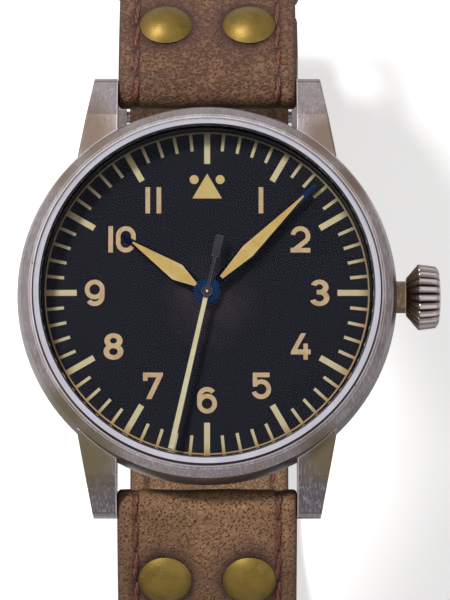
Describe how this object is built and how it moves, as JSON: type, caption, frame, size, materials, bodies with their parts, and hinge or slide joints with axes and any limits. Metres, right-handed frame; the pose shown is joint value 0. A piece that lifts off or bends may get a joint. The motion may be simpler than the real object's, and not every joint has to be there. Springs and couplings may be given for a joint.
{
  "type": "pilot watch",
  "caption": "Round steel pilot wristwatch with black dial, sword hands, fluted crown, hand-wound movement and riveted leather strap with pin buckle.",
  "frame": {"origin": "centre of the flat outer face of the case back", "axes": "+Z out of the dial, +Y towards 12 o'clock, +X towards the crown at 3 o'clock"},
  "size_m": [0.0476, 0.1014, 0.0795],
  "materials": {
    "case_steel": "aged brushed steel with a brown patina",
    "bezel_steel": "polished, softly worn",
    "crystal": "clear, polished",
    "dial_black": "matt black",
    "dial_print": "aged cream print",
    "lume": "aged luminous filling",
    "lume_pale": "pale luminous filling",
    "blued_steel": "heat blued",
    "brass": "gilt",
    "movement_nickel": "nickel plated",
    "movement_steel": "polished",
    "jewel": "synthetic ruby",
    "gasket": "matt",
    "crystal_gasket": "translucent nylon",
    "leather": "oiled aged calf with open pores",
    "lining": "smooth lining",
    "rivet_brass": "antique brass",
    "buckle_steel": "aged brushed steel"
  },
  "bodies": {
    "case": {"mid_case": "case_steel", "bezel": "bezel_steel", "crystal": "crystal", "crystal_gasket": "crystal_gasket", "case_back": "case_steel", "case_back_gasket": "gasket", "movement_ring": "movement_steel", "crown_tube": "case_steel", "spring_bar_upper": "movement_steel", "spring_bar_lower": "movement_steel", "dial": "dial_black", "dial_numerals": "dial_print", "hour_markers": "lume", "minute_track": "dial_print", "main_plate": "movement_nickel", "barrel_bridge": "movement_nickel", "train_bridge": "movement_nickel", "pallet_bridge": "movement_nickel", "balance_cock": "movement_nickel", "bridge_screws": "blued_steel", "jewels": "jewel", "hairspring": "blued_steel"},
    "seconds_works": {"fourth_wheel": "brass", "seconds_hand": "blued_steel", "seconds_hand_lume": "lume_pale"},
    "minutes_works": {"centre_wheel": "brass", "cannon_pinion": "movement_steel", "minute_hand": "blued_steel", "minute_hand_lume": "lume"},
    "hours_works": {"hour_wheel": "brass", "hour_hand": "blued_steel", "hour_hand_lume": "lume"},
    "third_train": {"third_wheel": "brass"},
    "minute_train": {"minute_wheel": "brass"},
    "escape_train": {"escape_wheel": "movement_steel"},
    "barrel": {"barrel_drum": "brass", "mainspring": "movement_steel"},
    "clutch": {"clutch_wheel": "movement_steel", "winding_pinion": "movement_steel"},
    "crown_and_stem": {"crown": "case_steel", "crown_gasket": "gasket", "winding_stem": "movement_steel"},
    "crown_wheel_body": {"crown_wheel": "movement_steel"},
    "ratchet": {"ratchet_wheel": "movement_steel", "barrel_arbor": "movement_steel"},
    "click_body": {"click": "movement_steel"},
    "pallets": {"pallet_fork": "movement_steel", "pallet_stones": "jewel"},
    "balance": {"balance_wheel": "brass"},
    "strap_upper": {"strap_upper_leather": "leather", "strap_upper_lining": "lining", "rivets_upper": "rivet_brass", "keeper_fixed": "leather"},
    "keeper": {"keeper_free": "leather"},
    "buckle": {"buckle_frame": "buckle_steel", "buckle_bar": "buckle_steel"},
    "tongue": {"buckle_tongue": "buckle_steel"},
    "strap_lower": {"strap_lower_leather": "leather", "strap_lower_lining": "lining", "rivets_lower": "rivet_brass"}
  },
  "joints": [
    {"name": "seconds_turn", "type": "hinge", "parent": "case", "child": "seconds_works", "pos_m": [0, 0, 0.00905], "axis": [0, 0, -1], "continuous": true},
    {"name": "minutes_turn", "type": "hinge", "parent": "case", "child": "minutes_works", "pos_m": [0, 0, 0.0085], "axis": [0, 0, -1], "continuous": true},
    {"name": "hours_turn", "type": "hinge", "parent": "case", "child": "hours_works", "pos_m": [0, 0, 0.00795], "axis": [0, 0, -1], "continuous": true},
    {"name": "third_wheel_turn", "type": "hinge", "parent": "case", "child": "third_train", "pos_m": [-0.00446, -0.00162, 0.0045], "axis": [0, 0, -1], "continuous": true},
    {"name": "minute_wheel_turn", "type": "hinge", "parent": "case", "child": "minute_train", "pos_m": [0.00249, -0.00144, 0.0066], "axis": [0, 0, -1], "continuous": true},
    {"name": "escape_wheel_turn", "type": "hinge", "parent": "case", "child": "escape_train", "pos_m": [0.00164, -0.00451, 0.0044], "axis": [0, 0, -1], "continuous": true},
    {"name": "barrel_turn", "type": "hinge", "parent": "case", "child": "barrel", "pos_m": [0.00363, 0.00622, 0.0046], "axis": [0, 0, -1], "continuous": true},
    {"name": "crown_turn", "type": "hinge", "parent": "case", "child": "clutch", "pos_m": [0.012, 0, 0.004], "axis": [1, 0, 0], "continuous": true},
    {"name": "crown_wheel_turn", "type": "hinge", "parent": "case", "child": "crown_wheel_body", "pos_m": [0.0085, 0, 0.0017], "axis": [0, 0, 1], "continuous": true},
    {"name": "ratchet_turn", "type": "hinge", "parent": "case", "child": "ratchet", "pos_m": [0.00363, 0.00622, 0.0017], "axis": [0, 0, 1], "continuous": true},
    {"name": "crown_pull", "type": "slide", "parent": "clutch", "child": "crown_and_stem", "axis": [1, 0, 0], "range_m": [0, 0.0012]},
    {"name": "click_lift", "type": "hinge", "parent": "case", "child": "click_body", "pos_m": [-0.00209, 0.00952, 0.0017], "axis": [0, 0, 1], "range_deg": [0, 8], "stiffness_Nm_per_rad": 0.000002, "springref_deg": -2.86},
    {"name": "pallet_rock", "type": "hinge", "parent": "case", "child": "pallets", "pos_m": [0.00019, -0.00702, 0.0044], "axis": [0, 0, 1], "range_deg": [-5, 5]},
    {"name": "balance_swing", "type": "hinge", "parent": "case", "child": "balance", "pos_m": [-0.00161, -0.01014, 0.0031], "axis": [0, 0, 1], "range_deg": [-270, 270], "stiffness_Nm_per_rad": 0.00000027},
    {"name": "strap_upper_hinge", "type": "hinge", "parent": "case", "child": "strap_upper", "pos_m": [0, 0.0235, 0.0032], "axis": [1, 0, 0], "range_deg": [-3, 70]},
    {"name": "strap_lower_hinge", "type": "hinge", "parent": "case", "child": "strap_lower", "pos_m": [0, -0.0235, 0.0032], "axis": [-1, 0, 0], "range_deg": [-3, 70]},
    {"name": "keeper_slide", "type": "hinge", "parent": "strap_upper", "child": "keeper", "pos_m": [0, 0.01455, -0.03242], "axis": [-1, 0, 0], "range_deg": [-10, 18]},
    {"name": "buckle_hinge", "type": "hinge", "parent": "strap_upper", "child": "buckle", "pos_m": [0, 0.03103, -0.05985], "axis": [1, 0, 0], "range_deg": [-60, 30]},
    {"name": "tongue_hinge", "type": "hinge", "parent": "buckle", "child": "tongue", "pos_m": [0, 0.03103, -0.05985], "axis": [1, 0, 0], "range_deg": [0, 80]}
  ],
  "couplings": [
    {"joint": "third_wheel_turn", "follows": "seconds_turn", "ratio": -0.13333},
    {"joint": "minutes_turn", "follows": "seconds_turn", "ratio": 0.016667},
    {"joint": "minute_wheel_turn", "follows": "seconds_turn", "ratio": -0.0055556},
    {"joint": "hours_turn", "follows": "seconds_turn", "ratio": 0.0013889},
    {"joint": "barrel_turn", "follows": "seconds_turn", "ratio": -0.002381},
    {"joint": "escape_wheel_turn", "follows": "seconds_turn", "ratio": -10},
    {"joint": "crown_wheel_turn", "follows": "crown_turn", "ratio": 0.75},
    {"joint": "ratchet_turn", "follows": "crown_turn", "ratio": -0.32727}
  ]
}
